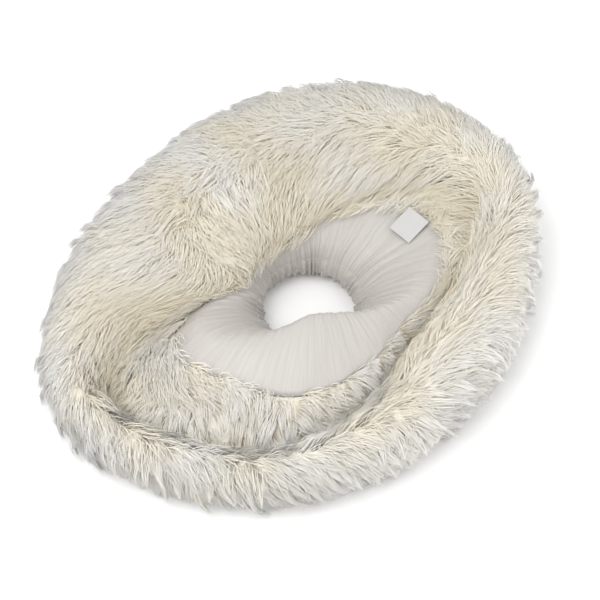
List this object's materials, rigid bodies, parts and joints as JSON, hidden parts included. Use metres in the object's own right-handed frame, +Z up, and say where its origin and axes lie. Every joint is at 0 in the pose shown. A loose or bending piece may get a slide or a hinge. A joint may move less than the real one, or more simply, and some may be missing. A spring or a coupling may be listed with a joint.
{
  "type": "faux fur boa",
  "caption": "Closed neck loop of long-pile faux fur over wadding, with a satin lining gathered by elastic round the opening and a blank sewn-in label.",
  "frame": {"origin": "centre of the bounding box, on the plane the loop lies on", "axes": "+Z up out of the opening, +X along the loop's longest extent as it lies, +Y towards its thick side"},
  "size_m": [0.37, 0.356, 0.092],
  "materials": {
    "fur": "long soft pile",
    "satin": "satin, gathered",
    "wadding": "loose fibre",
    "elastic": "braided",
    "thread": "spun",
    "label_tape": "satin tape, blank"
  },
  "bodies": {
    "boa": {"fur_panel_back": "fur", "fur_panel_front": "fur", "lining": "satin", "wadding_core": "wadding", "elastic_band": "elastic", "top_seam_thread": "thread", "bottom_seam_thread": "thread", "casing_stitch_upper": "thread", "casing_stitch_lower": "thread", "fur_join_thread_right": "thread", "fur_join_thread_left": "thread", "lining_join_thread": "thread", "label_tack_thread": "thread"},
    "label": {"care_label": "label_tape"}
  },
  "joints": [
    {"name": "label_fold", "type": "hinge", "parent": "boa", "child": "label", "pos_m": [0.09496, 0.05299, 0.053], "axis": [-0.7036, 0.7099, 0.031], "range_deg": [0, 110]}
  ]
}
